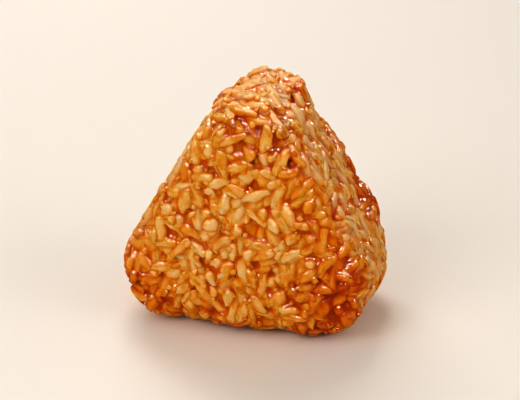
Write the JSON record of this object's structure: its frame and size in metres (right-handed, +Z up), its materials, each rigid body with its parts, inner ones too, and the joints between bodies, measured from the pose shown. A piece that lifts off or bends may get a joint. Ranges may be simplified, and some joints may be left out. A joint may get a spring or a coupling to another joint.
{
  "type": "grilled rice ball",
  "caption": "Grilled triangular rice ball of soy-glazed grains, standing on its flat base.",
  "frame": {"origin": "middle of the flat base that the rice ball rests on", "axes": "+Z up, towards the rounded apex; -Y out of the wide front face; +X along the front face to the right"},
  "size_m": [0.0668, 0.0435, 0.0636],
  "materials": {
    "rice": "cooked rice grilled with soy sauce: amber grains under a thin sticky glaze, toasted brown along the edges"
  },
  "bodies": {
    "root": {"rice_ball": "rice"}
  },
  "joints": []
}
